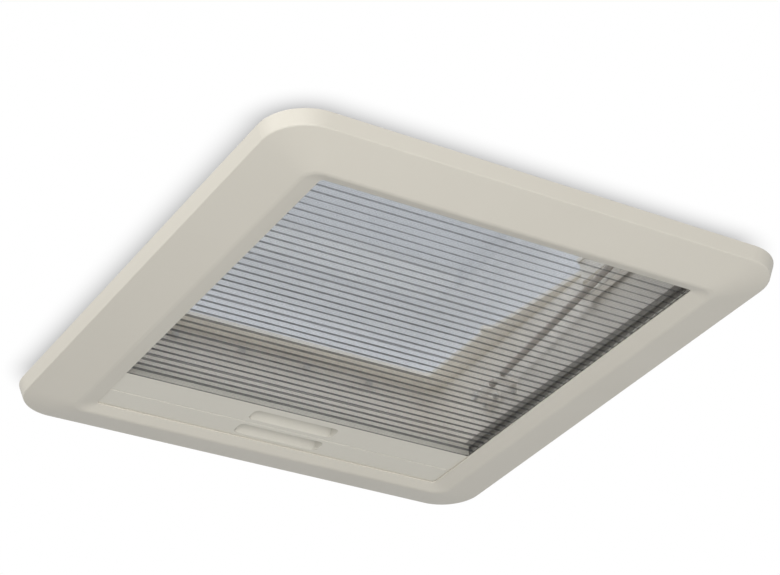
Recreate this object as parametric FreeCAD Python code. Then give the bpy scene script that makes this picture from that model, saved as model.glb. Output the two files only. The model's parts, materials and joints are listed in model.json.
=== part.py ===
import FreeCAD, Part
import os
from math import asin, atan2, cos, degrees, hypot, radians, sin

# Caravan roof hatch, seen from below: bevelled interior frame, flyscreen and blackout blind,
# roof-side frame, double dome and the bail that opens it.
# X runs across the hatch and Y along the blinds' travel. The hinge end is at +Y, the dome is at +Z.
# The exported origin is the centre of the lowest plane, which the ridge of the interior frame touches.
# Here Y is measured from the middle of the shaft, half of free_end_trim nearer to the free end.

V = FreeCAD.Vector
X_AXIS = V(1, 0, 0)
Y_AXIS = V(0, 1, 0)
Z_AXIS = V(0, 0, 1)

# Interior frame
open_w = 370.0
open_l = 420.0
bevel_w = 18.0
bevel_end_w = 13.0
slope_w = 43.0
slope_side_w = 45.0
free_end_trim = 5.0
band_draft = 4.0
frame_depth = 24.0
band_h = 13.0
lip_rise = 4.0
lip_t = 1.2
ledge_w = 8.0
frame_wall = 2.5
r_open = 4.0
r_ridge = 14.0
r_band = 39.0
r_outer = 42.0
ridge_round = 8.0
ridge_land = 3.0
band_round = 1.5
open_round = 0.5

# Roof-side frame
shaft_w = 380.0
shaft_l = 420.0
shaft_r = 14.0
roof_t = 46.0
neck_t = 8.0
neck_skin = 2.5
neck_gap = 2.0
flange_w = 34.0
flange_t = 3.5
upstand_h = 34.0
upstand_t = 16.0
deck_t = 3.0
boss_l = 14.0

# Clamp claws, screws and spring clips
screw_r = 1.75
screw_head_r = 3.2
screw_head_h = 2.4
screw_l = 31.0
screw_set = 5.0
screw_play = 0.05
screw_slot_w = 0.9
screw_slot_l = 3.6
screw_slot_h = 1.2
claw_w = 20.0
claw_t = 3.0
claw_side_l = 33.0
claw_end_l = 47.0
claw_tab_t = 1.4
claw_tab_h = 16.0
claw_hole_play = 0.25
claw_side_y = 95.0
claw_end_x = 100.0
post_l = 10.0
post_t = 2.4
post_side_reach = 24.0
post_end_reach = 43.0
clip_t = 0.8
clip_h = 7.0
clip_w = 8.0
clip_play = 0.1

# Side guides
guide_gap = 2.2
guide_depth = 4.2
guide_t = 1.2
groove_top = 17.0
guide_end_y = 165.5

# Blinds
rail_w = 34.5
rail_h = 12.5
rail_lift = 0.3
rail_wall = 1.8
rail_part_gap = 0.3
rail_edge_r = 0.8
rail_side_gap = 0.4
parked_edge = 11.3
glide_l = 3.0
glide_w = 20.0
glide_play = 0.4
grip_w = 91.0
grip_depth = 7.0
grip_l = 19.0
grip_skin = 1.2
grip_corner_r = 6.0
grip_end_draft = 5.0
screen_grip_set = 9.0
blind_grip_set = 4.5
pleats = 41
pleat_rise = 3.3
pleat_depth = 5.6
net_t = 0.4
cord_r = 0.5
cord_hole_r = 0.75
cord_set = 1.2
cord_rise = 1.75
anchor_r = 1.5
anchor_l = 3.0
magnet_r = 3.0
magnet_t = 1.5
magnet_x = 150.0
cassette_gap = 0.7
cassette_l = 22.0
cassette_wall = 1.2
cassette_floor_t = 1.0
cassette_climb = 3.9
pack_rise = 4.0
cassette_rib_t = 2.0
cassette_rib_step = 80.0

# Dome
seal_w = 10.0
seal_h = 6.7
seal_wall = 1.5
seal_gap = 0.3
brim_w = 29.0
subframe_t = 4.0
subframe_r = 6.0
subframe_side_inset = 19.0
subframe_end_inset = 17.0
subframe_free_inset = 15.0
subframe_track_inset = 13.0
tab_y = 87.0
tab_l = 6.0
tab_depth = 5.0
tab_flank = 3.0
slant_from_y = 80.0
slant_from_inset = 15.5
slant_to_y = -57.0
slant_to_inset = -3.0
slant_step_l = 4.0
pane_t = 3.0
shell_t = 3.0
skirt_gap = 2.0
skirt_h = 33.0
crown_set = 24.0
crown_slope = 14.0
crown_h = 46.0
crown_r = 52.0
crown_round = 20.0
crown_bulge = 5.0

# Dome hinge
hinge_y_gap = 8.0
hinge_drop = 16.0
hinge_x = 72.0
hinge_pin_r = 2.5
hinge_play = 0.05
knuckle_wall = 2.5
knuckle_l = 12.0
knuckle_gap = 0.4
hinge_plate_t = 2.0
hinge_arm_t = 3.0
hinge_screw_r = 2.0
hinge_screw_head_r = 3.6
hinge_screw_head_h = 1.6
hinge_screw_set = 6.0
hinge_plate_w = 84.0
hinge_plate_h = 17.0
hinge_arm_w = 44.0
hinge_arm_l = 14.0
hinge_arm_screw_set = 7.0
hinge_nut_r = 4.2
hinge_nut_t = 3.0

# Bail
bail_side_gap = 16.0
bail_r = 3.5
bail_wall = 1.0
bail_pivot_y = 110.0
bail_pivot_rise = 25.0
bail_bar_y = -160.0
bail_bar_rise = 60.0
socket_r = 5.0
socket_l = 16.0
socket_play = 0.05
tube_set = 9.0
pivot_r = 2.5
pivot_boss_r = 6.0
shoe_r = 5.0
shoe_l = 5.0
axle_r = 2.0
track_gap = 0.3
track_side_gap = 0.4
track_slack = 6.5
track_wall = 1.8
track_lip = 2.0
track_travel = 90.0
track_top_x = 9.4
grip_sleeve_r = 6.5
grip_sleeve_l = 130.0
cradle_y = 70.0
cradle_l = 9.0
cradle_t = 2.0
cradle_h = 16.0
cradle_lip_h = 5.0
plate_t = 2.0
plate_l = 28.0
plate_h = 15.0
plate_screw_y = 9.5

# Levels and half sizes that follow from these
z_ceiling = frame_depth
z_ledge = lip_rise + lip_t
z_neck = z_ceiling + neck_gap
z_roof = z_ceiling + roof_t
z_rim = z_roof + upstand_h
z_dome = z_rim + seal_h + seal_gap
z_pane = z_dome + subframe_t
z_shell = z_pane + pane_t
z_brim = z_shell + shell_t
ox = open_w / 2
oy = open_l / 2
sx = shaft_w / 2
sy = shaft_l / 2
rail_z = z_ledge + rail_lift
pleat_z = z_ledge + pleat_rise
cord_z = pleat_z + cord_rise
pack_z = z_ledge + pack_rise
park_y = oy + parked_edge
screen_rail_y = park_y - 2 * rail_w - rail_part_gap
blind_rail_y = park_y - rail_w
cassette_y = park_y + cassette_gap
cassette_z = z_ledge - cassette_floor_t
cord_x = ox + guide_gap + cord_set
screen_end = cassette_y + cassette_l - cassette_wall
fold_height = hypot(pleat_depth, (screen_rail_y + screen_end) / pleats / 2)
hinge_y = sy + upstand_t + hinge_y_gap
hinge_z = z_dome - hinge_drop
hinge_screw_x = hinge_plate_w / 2 - hinge_screw_set
hinge_arm_screw_x = hinge_arm_w / 2 - hinge_arm_screw_set
bail_x = sx - bail_side_gap
bail_pivot_z = z_ceiling + bail_pivot_rise
bail_bar_z = z_ceiling + bail_bar_rise
bail_len = hypot(bail_pivot_y - bail_bar_y, bail_bar_z - bail_pivot_z)
bail_tilt = degrees(atan2(bail_bar_z - bail_pivot_z, bail_pivot_y - bail_bar_y))

parts = {}


def rounded(hx, hy, r, z):
    """Closed wire of a rounded rectangle about the Z axis."""
    r = min(r, hx - 0.01, hy - 0.01)
    k = r * (1 - cos(radians(45)))
    edges = []
    corners = [(1, -1), (1, 1), (-1, 1), (-1, -1)]
    ends = []
    for i, (u, v) in enumerate(corners):
        first = V(u * (hx - r), v * hy, z) if i % 2 == 0 else V(u * hx, v * (hy - r), z)
        last = V(u * hx, v * (hy - r), z) if i % 2 == 0 else V(u * (hx - r), v * hy, z)
        ends.append((first, V(u * (hx - k), v * (hy - k), z), last))
    for i, (first, middle, last) in enumerate(ends):
        edges.append(Part.Arc(first, middle, last).toShape())
        edges.append(Part.LineSegment(last, ends[(i + 1) % 4][0]).toShape())
    return Part.Wire(edges)


def prism(hx, hy, r, z0, z1):
    """Upright block with rounded corners."""
    return Part.Face(rounded(hx, hy, r, z0)).extrude(V(0, 0, z1 - z0))


def loft(*wires):
    return Part.makeLoft(list(wires), True, True)


def block(x0, x1, y0, y1, z0, z1):
    return Part.makeBox(x1 - x0, y1 - y0, z1 - z0, V(x0, y0, z0))


def rod(r, start, axis, length):
    return Part.makeCylinder(r, length, start, axis)


def polygon(points):
    return Part.Face(Part.makePolygon(points + [points[0]]))


def save(name, shape):
    if isinstance(shape, list):
        shape = Part.makeCompound(shape)
    parts[name] = shape


def mirrored_x(shape):
    return shape.mirror(V(0, 0, 0), X_AXIS)


def save_pair(name, shape):
    """Right piece as modelled at +X, left piece as its mirror image."""
    save(name + "_right", shape)
    save(name + "_left", mirrored_x(shape))


def edges_where(shape, test):
    return [e for e in shape.Edges if test(e)]


def edges_at_height(shape, z):
    """The edges that lie wholly at one height."""
    near = 0.01
    return edges_where(shape, lambda e: abs(e.BoundBox.ZMin - z) < near and abs(e.BoundBox.ZMax - z) < near)


def frame_surface(offset):
    """Height of the interior frame's outside slope, at a distance outward from the opening."""
    return (offset - bevel_w) / slope_w * (z_ceiling - band_h)


def shell_top(offset):
    """Height of the hidden side of that slope."""
    return frame_surface(offset) + frame_wall


def frame_wire(offset, radius, z, side=0.0):
    """The trim's outlines, nearer to the middle at the free end than at the hinge end."""
    shift = free_end_trim / 2
    wire = rounded(ox + offset + side, oy - shift + offset, radius, z)
    wire.translate(V(0, shift, 0))
    return wire


def end_edge(v):
    """Where the trim's offsets start from at one end, as a distance from the middle."""
    return oy if v > 0 else oy - free_end_trim


def opening_wire(offset, radius, z):
    """The opening's own edge, nearer to the ridge at both ends than at the sides."""
    shift = (bevel_w - bevel_end_w) / 2
    wire = rounded(ox + offset, oy + shift + offset, radius, z)
    wire.translate(V(0, shift, 0))
    return wire


def claw_spots():
    """Each clamp claw's screw position, outward direction, length and distance to the spring clip."""
    x = sx + screw_set
    y = sy + screw_set
    spots = []
    for u in (-1, 1):
        for v in (-1, 1):
            spots.append((V(u * x, v * claw_side_y, 0), V(u, 0, 0), claw_side_l, post_side_reach))
            spots.append((V(u * claw_end_x, v * y, 0), V(0, v, 0), claw_end_l, post_end_reach))
    return spots


def along(spot, out, d0, d1, w, z0, z1):
    """Block that runs outward from a spot, between two distances, centred on its line."""
    side = V(-out.y, out.x, 0)
    corners = [spot + out * d + side * s for d in (d0, d1) for s in (-w / 2, w / 2)]
    xs = [c.x for c in corners]
    ys = [c.y for c in corners]
    return block(min(xs), max(xs), min(ys), max(ys), z0, z1)


def interior_frame():
    edge = bevel_w + slope_w
    side = slope_side_w - slope_w
    z_band = z_ceiling - band_h
    half_land = ridge_land / 2
    body = loft(
        frame_wire(edge + band_draft, r_outer, z_ceiling, side),
        frame_wire(edge, r_band, z_band, side),
        frame_wire(bevel_w + half_land, r_ridge, 0),
    )
    bevel = loft(
        frame_wire(bevel_w - half_land, r_ridge, 0),
        opening_wire(0, r_open, lip_rise),
    )
    body = body.cut(bevel)
    ridge = edges_where(body, lambda e: e.BoundBox.ZMax < 0.01)
    body = body.makeFillet(ridge_round, ridge)
    band = edges_at_height(body, z_band)
    body = body.makeFillet(band_round, band)
    inner_edge = edge - frame_wall
    cavity = loft(
        frame_wire(inner_edge + band_draft, r_outer - frame_wall, z_ceiling, side),
        frame_wire(inner_edge, r_band - frame_wall, shell_top(inner_edge), side),
        frame_wire(bevel_w, r_ridge, frame_wall),
    )
    z_core = lip_rise * (1 - ledge_w / bevel_w) + frame_wall
    core = loft(
        frame_wire(bevel_w, r_ridge, frame_wall),
        frame_wire(ledge_w, r_open + ledge_w / 2, z_core),
    )
    step = prism(ox + ledge_w, oy + ledge_w, r_open + ledge_w / 2, frame_wall, z_ledge)
    body = body.cut(cavity.cut(core.fuse(step)))
    body = body.cut(Part.Face(opening_wire(0, r_open, -1)).extrude(V(0, 0, z_ceiling + 1)))
    lip = edges_at_height(body, lip_rise)
    body = body.makeFillet(open_round, lip)
    for spot, out, length, reach in claw_spots():
        inside = ox if abs(out.x) > 0.5 else end_edge(out.y)
        start = (sx if abs(out.x) > 0.5 else sy) + screw_set
        low = frame_surface(start + reach - post_t / 2 - inside) + frame_wall / 2
        high = z_ceiling - claw_t - clip_t - clip_play
        body = body.fuse(along(spot, out, reach - post_t / 2, reach + post_t / 2, post_l, low, high))
    for x in cassette_rib_x():
        for v in (-1, 1):
            near = oy + bevel_w + 4
            far = cassette_y + cassette_l - cassette_wall
            outline = [
                V(x - cassette_rib_t / 2, v * near, shell_top(near - end_edge(v)) - frame_wall / 2),
                V(x - cassette_rib_t / 2, v * near, cassette_floor(near)),
                V(x - cassette_rib_t / 2, v * far, cassette_floor(far)),
                V(x - cassette_rib_t / 2, v * far, shell_top(far - end_edge(v)) - frame_wall / 2),
            ]
            body = body.fuse(polygon(outline).extrude(V(cassette_rib_t, 0, 0)))
    save("interior_frame", body.removeSplitter())


def cassette_rib_x():
    return [cassette_rib_step * i for i in range(-2, 3)]


def cassette_floor(y):
    """Underside of the cassettes, which climb with the trim's slope behind them."""
    return cassette_z + cassette_climb * (y - cassette_y) / cassette_l


def clamp_parts():
    claws = []
    screws = []
    clips = []
    z0 = z_ceiling - claw_t
    for spot, out, length, reach in claw_spots():
        claw = along(spot, out, -screw_head_r, length - screw_head_r, claw_w, z0, z_ceiling)
        tab_start = neck_t - screw_set + 0.3
        tab = along(spot, out, tab_start, tab_start + claw_tab_t, claw_w, z_ceiling, z_ceiling + claw_tab_h)
        claw = claw.fuse(tab)
        claw = claw.cut(rod(screw_r + claw_hole_play, spot + V(0, 0, z0 - 1), Z_AXIS, claw_t + 2))
        claws.append(claw.removeSplitter())
        head = rod(screw_head_r, spot + V(0, 0, z0 - screw_head_h), Z_AXIS, screw_head_h)
        head = head.makeFillet(0.8, edges_where(head, lambda e: e.BoundBox.ZMax < z0 - screw_head_h + 0.01))
        screw = head.fuse(rod(screw_r, spot + V(0, 0, z0), Z_AXIS, screw_l))
        for sxx, syy in ((screw_slot_l, screw_slot_w), (screw_slot_w, screw_slot_l)):
            slot = Part.makeBox(sxx, syy, screw_slot_h, spot + V(-sxx / 2, -syy / 2, z0 - screw_head_h))
            screw = screw.cut(slot)
        screws.append(screw.removeSplitter())
        half = post_t / 2 + clip_play
        clip = along(spot, out, reach - half - clip_t, reach + half + clip_t, clip_w, z0 - clip_t, z0)
        for d in (reach - half - clip_t, reach + half):
            clip = clip.fuse(along(spot, out, d, d + clip_t, clip_w, z0 - clip_t - clip_h, z0))
        clips.append(clip.removeSplitter())
    save("clamp_claws", claws)
    save("clamp_screws", screws)
    save("frame_clips", clips)


def base_frame():
    top = z_roof + flange_t
    neck = prism(sx + neck_t, sy + neck_t, shaft_r + neck_t, z_neck, top)
    reach = neck_t + flange_w
    flange = prism(sx + reach, sy + reach, shaft_r + reach, z_roof, top)
    flange = flange.makeFillet(1.5, edges_where(flange, lambda e: e.BoundBox.ZMin > top - 0.01))
    upstand = prism(sx + upstand_t, sy + upstand_t, shaft_r + upstand_t, z_roof, z_rim)
    upstand = upstand.makeFillet(1.5, edges_where(upstand, lambda e: e.BoundBox.ZMin > z_rim - 0.01))
    body = neck.fuse([flange, upstand])
    body = body.cut(prism(sx, sy, shaft_r, z_neck - 1, z_rim + 1))
    skin = neck_skin
    inside = prism(sx + skin, sy + skin, shaft_r + skin, z_neck - 2, z_rim)
    outward = upstand_t - skin
    upper = prism(sx + outward, sy + outward, shaft_r + outward, top, z_rim - deck_t)
    outward = neck_t - skin
    lower = prism(sx + outward, sy + outward, shaft_r + outward, z_neck - 1, top)
    pocket = upper.fuse(lower).cut(inside)
    z_boss = z_ceiling - claw_t + screw_l + 4
    for spot, out, length, reach in claw_spots():
        pocket = pocket.cut(along(spot, out, -screw_set, neck_t - screw_set, boss_l, z_neck - 1, z_boss))
    body = body.cut(pocket)
    for spot, out, length, reach in claw_spots():
        body = body.cut(rod(screw_r + screw_play, spot + V(0, 0, z_neck - 1), Z_AXIS, z_boss - z_neck - 1))
    for x in hinge_screw_spots():
        hole = rod(hinge_screw_r + screw_play, V(x, sy - 1, hinge_z), Y_AXIS, upstand_t + 2)
        body = body.cut(hole)
    for u in (-1, 1):
        for y, z in bail_bracket_screw_spots():
            body = body.cut(rod(screw_r + screw_play, V(u * (sx - 1), y, z), V(u, 0, 0), skin + 3))
    save("base_frame", body.removeSplitter())


def dome_seal():
    mid = upstand_t / 2
    half = seal_w / 2
    far = mid + half
    near = mid - half
    body = prism(sx + far, sy + far, shaft_r + far, z_rim, z_rim + seal_h)
    body = body.cut(prism(sx + near, sy + near, shaft_r + near, z_rim - 1, z_rim + seal_h + 1))
    rim = edges_where(body, lambda e: e.BoundBox.ZMin > z_rim + seal_h - 0.01)
    body = body.makeFillet(seal_w * 0.3, rim)
    out = half - seal_wall
    bulb = prism(sx + mid + out, sy + mid + out, shaft_r + mid + out, z_rim - 1, z_rim + seal_h - seal_wall)
    bulb = bulb.cut(prism(sx + mid - out, sy + mid - out, shaft_r + mid - out, z_rim - 2, z_rim + seal_h))
    save("dome_seal", body.cut(bulb))


def guide_bar(y0, y1):
    """Side guide at +X: an upright wall, and a shelf above the pleats and the rails' glides."""
    x0 = ox + guide_gap
    x1 = x0 + guide_depth
    wall = block(x1 - guide_t, x1, y0, y1, z_ledge, z_neck)
    return wall.fuse(block(x0, x1, y0, y1, groove_top, groove_top + guide_t))


def guides():
    save_pair("side_guide", guide_bar(-cassette_y, guide_end_y))


def cassettes():
    x_out = ox + ledge_w
    y0 = cassette_y
    y1 = cassette_y + cassette_l
    top = z_ceiling - claw_t - 0.3
    wall = cassette_wall
    z1 = cassette_floor(y1)
    outer = [(y0, cassette_z), (y1, z1), (y1, top), (y0, top)]
    floor = cassette_floor_t
    z_end = cassette_floor(y1 - wall) + floor
    inner = [
        (y0 - 1, z_ledge), (y0, z_ledge),
        (y1 - wall, z_end), (y1 - wall, top - wall), (y0 - 1, top - wall),
    ]
    body = polygon([V(-x_out, y, z) for y, z in outer]).extrude(V(2 * x_out, 0, 0))
    hollow = polygon([V(-x_out + wall, y, z) for y, z in inner]).extrude(V(2 * (x_out - wall), 0, 0))
    body = body.cut(hollow)
    for u in (-1, 1):
        body = body.cut(rod(cord_hole_r, V(u * cord_x, y1 - wall - 1, cord_z), Y_AXIS, wall + 2))
    body = body.removeSplitter()
    save("flyscreen_cassette", body.mirror(V(0, 0, 0), Y_AXIS))
    lap = y0 + wall
    end = guide_bar(guide_end_y, lap)
    end = end.fuse(block(ox + guide_gap + guide_depth, x_out, guide_end_y, lap, z_ledge, z_neck))
    body = body.fuse([end, mirrored_x(end)])
    save("blackout_cassette", body.removeSplitter())


def flyscreen():
    """The drawn net: even folds, which climb towards their fixed end as the cassette's floor does."""
    y0 = -screen_end
    pitch = (screen_rail_y - y0) / pleats
    half = pleat_depth / 2
    climb = cassette_floor(screen_end) - cassette_z
    lower = []
    upper = []
    for i in range(2 * pleats + 1):
        y = y0 + i * pitch / 2
        z = pleat_z + (half if i % 2 else -half) + climb * (1 - i / (2 * pleats))
        lower.append(V(0, y, z - net_t / 2))
        upper.append(V(0, y, z + net_t / 2))
    width = 2 * (cord_x + cord_hole_r + 0.25)
    net = polygon(lower + upper[::-1]).extrude(V(width, 0, 0))
    net.translate(V(-width / 2, 0, 0))
    for u in (-1, 1):
        net = net.cut(rod(cord_hole_r, V(u * cord_x, y0 - 1, cord_z), Y_AXIS, screen_rail_y - y0 + 2))
    save("flyscreen", net)


def blackout():
    """The folded pack: narrow folds side by side, as deep as one opened pleat is long."""
    y0 = blind_rail_y + rail_w
    y1 = screen_end
    pitch = (y1 - y0) / pleats
    half = fold_height / 2
    climb = cassette_floor(y1) - cassette_z
    notch = 0.6
    lower = []
    upper = []
    for i in range(2 * pleats + 1):
        y = y0 + i * pitch / 2
        z = pack_z + climb * i / (2 * pleats)
        lower.append(V(0, y, z - half + (notch if i % 2 else 0)))
        upper.append(V(0, y, z + half - (0 if i % 2 else notch)))
    width = 2 * (cord_x + cord_hole_r + 0.25)
    pack = polygon(lower + upper[::-1]).extrude(V(width, 0, 0))
    pack.translate(V(-width / 2, 0, 0))
    for u in (-1, 1):
        pack = pack.cut(rod(cord_hole_r, V(u * cord_x, y0 - 1, cord_z), Y_AXIS, y1 - y0 + 2))
    save("blackout_pleats", pack)


def grip_pocket(y0):
    """Scoop for a finger: steep at the near edge, deepest behind it and rising to the far edge."""
    z0 = rail_z
    depth = grip_depth
    length = grip_l
    half = grip_w / 2
    near = V(-half, y0, z0)
    start = V(-half, y0 + 0.8, z0 + depth * 0.62)
    deep = V(-half, y0 + 5.0, z0 + depth)
    end = V(-half, y0 + length, z0)
    edges = [
        Part.LineSegment(near, start).toShape(),
        Part.Arc(start, V(-half, y0 + 2.4, z0 + depth * 0.94), deep).toShape(),
        Part.Arc(deep, V(-half, y0 + 5.0 + (length - 5.0) * 0.58, z0 + depth * 0.62), end).toShape(),
        Part.LineSegment(end, near).toShape(),
    ]
    scoop = Part.Face(Part.Wire(edges)).extrude(V(grip_w, 0, 0))
    bound = loft(
        rounded(half, length / 2, grip_corner_r, z0 - 0.01),
        rounded(half - grip_end_draft, length / 2, grip_corner_r - 1, z0 + depth + 0.5),
    )
    bound.translate(V(0, y0 + length / 2, 0))
    return scoop.common(bound)


def end_rail(name, y0, grip_y, magnet_side):
    half = ox + guide_gap - rail_side_gap
    y1 = y0 + rail_w
    z1 = rail_z + rail_h
    wall = rail_wall
    body = block(-half, half, y0, y1, rail_z, z1)
    long_edges = edges_where(body, lambda e: e.BoundBox.XLength > 2 * half - 0.1)
    body = body.makeFillet(rail_edge_r, long_edges)
    hollow = block(-half - 1, half + 1, y0 + wall, y1 - wall, rail_z + wall, z1 - wall)
    skin = grip_skin
    liner = block(
        -grip_w / 2 - skin, grip_w / 2 + skin,
        grip_y - skin, grip_y + grip_l + skin,
        rail_z, rail_z + grip_depth + skin,
    )
    body = body.cut(hollow.cut(liner))
    body = body.cut(grip_pocket(grip_y))
    magnets = []
    for u in (-1, 1):
        y = y1 - magnet_t if magnet_side > 0 else y0
        spot = V(u * magnet_x, y, rail_z + rail_h / 2)
        magnet = rod(magnet_r, spot, Y_AXIS, magnet_t)
        body = body.cut(magnet)
        magnets.append(magnet)
    save(name + "_rail", body.removeSplitter())
    save(name + "_rail_magnets", magnets)
    glides = []
    play = 0.1
    for u in (-1, 1):
        xa, xb = sorted((u * (half - 10), u * half))
        plug = block(xa, xb, y0 + wall + play, y1 - wall - play, rail_z + wall + play, z1 - wall - play)
        xa, xb = sorted((u * half, u * (half + glide_l)))
        mid = (y0 + y1) / 2
        tongue = block(xa, xb, mid - glide_w / 2, mid + glide_w / 2, rail_z, groove_top - glide_play)
        glide = plug.fuse(tongue)
        glide = glide.cut(rod(cord_hole_r, V(u * cord_x, y0 - 1, cord_z), Y_AXIS, rail_w + 2))
        glides.append(glide.removeSplitter())
    save(name + "_rail_glides", glides)


def cords():
    y1 = cassette_y + cassette_l
    lines = []
    anchors = []
    for u in (-1, 1):
        lines.append(rod(cord_r, V(u * cord_x, -y1 - anchor_l, cord_z), Y_AXIS, 2 * (y1 + anchor_l)))
        for v in (-1, 1):
            spot = V(u * cord_x, v * y1, cord_z)
            anchor = rod(anchor_r, spot, V(0, v, 0), anchor_l)
            anchor = anchor.cut(rod(cord_r, spot - V(0, v, 0), V(0, v, 0), anchor_l + 2))
            anchors.append(anchor)
    save("guide_cords", lines)
    save("cord_anchors", anchors)


def subframe_outline(z):
    """Inner edge of the cream frame: parallel at the hinge end, a small tab, then slanting to the tracks."""
    side = sx - subframe_side_inset
    track = sx - subframe_track_inset
    half = [
        (side, sy - subframe_end_inset),
        (side, tab_y + tab_l / 2 + tab_flank),
        (side - tab_depth, tab_y + tab_l / 2),
        (side - tab_depth, tab_y - tab_l / 2),
        (sx - slant_from_inset, slant_from_y),
        (sx - slant_to_inset, slant_to_y),
        (track, slant_to_y - slant_step_l),
        (track, subframe_free_inset - sy),
    ]
    points = [V(x, y, z) for x, y in half] + [V(-x, y, z) for x, y in reversed(half)]
    return polygon(points)


def dome_subframe():
    reach = brim_w
    body = prism(sx + reach, sy + reach, shaft_r + reach, z_dome, z_pane)
    hole = subframe_outline(z_dome - 1).extrude(V(0, 0, subframe_t + 2))
    near_end = sy - subframe_end_inset - 1
    corners = edges_where(hole, lambda e: e.BoundBox.ZLength > 1 and abs(e.BoundBox.YMin) > near_end)
    hole = hole.makeFillet(subframe_r, corners)
    body = body.cut(hole)
    for x, y in hinge_arm_screw_spots():
        body = body.cut(rod(hinge_screw_r + screw_play, V(x, y, z_dome - 1), Z_AXIS, subframe_t + 0.2))
    for x, y in track_screw_spots():
        body = body.cut(rod(screw_r + screw_play, V(x, y, z_dome - 1), Z_AXIS, subframe_t + 2))
        body = body.cut(rod(screw_head_r, V(x, y, z_pane - screw_head_h), Z_AXIS, screw_head_h))
    save("dome_subframe", body.removeSplitter())


def dome_pane():
    reach = brim_w
    save("dome_pane", prism(sx + reach, sy + reach, shaft_r + reach, z_pane, z_shell))


def crown(inset, z0, z_top):
    """Solid under the outer shell's crown, smaller all round by an inset."""
    hx, hy = sx + crown_set - inset, sy + crown_set - inset
    z_base = z_brim
    slope = crown_slope / crown_h
    lower = rounded(hx + slope * (z_base - z0), hy + slope * (z_base - z0), crown_r - inset, z0)
    z1 = z_top + 12
    upper = rounded(hx - slope * (z1 - z_base), hy - slope * (z1 - z_base), crown_r - inset, z1)
    body = loft(lower, upper)
    radius = (sy ** 2) / (2 * crown_bulge)
    ball = Part.makeSphere(radius, V(0, 0, z_top - radius))
    body = body.common(ball)
    rim = edges_where(body, lambda e: e.BoundBox.ZMin > z_top - 20 and e.BoundBox.ZMax > z0 + 20)
    return body.makeFillet(crown_round - inset, rim)


def dome_shell():
    gap = skirt_gap
    out = brim_w + gap + shell_t
    skirt_low = z_brim - skirt_h
    body = prism(sx + out, sy + out, shaft_r + out, skirt_low, z_brim)
    body = body.makeFillet(2.5, edges_where(body, lambda e: e.BoundBox.ZMin > z_brim - 0.01))
    z_top = z_brim + crown_h + crown_bulge
    body = body.fuse(crown(0, z_brim - 1, z_top))
    inner = brim_w + gap
    body = body.cut(prism(sx + inner, sy + inner, shaft_r + inner, skirt_low - 1, z_shell))
    body = body.cut(crown(shell_t, z_shell - 1, z_top - shell_t))
    save("dome_shell", body.removeSplitter())


def hinge_screw_spots():
    return [v * hinge_x + u * hinge_screw_x for v in (-1, 1) for u in (-1, 1)]


def hinge_arm_screw_spots():
    y = sy + upstand_t + hinge_plate_t + 4.0
    return [(v * hinge_x + u * hinge_arm_screw_x, y) for v in (-1, 1) for u in (-1, 1)]


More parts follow.
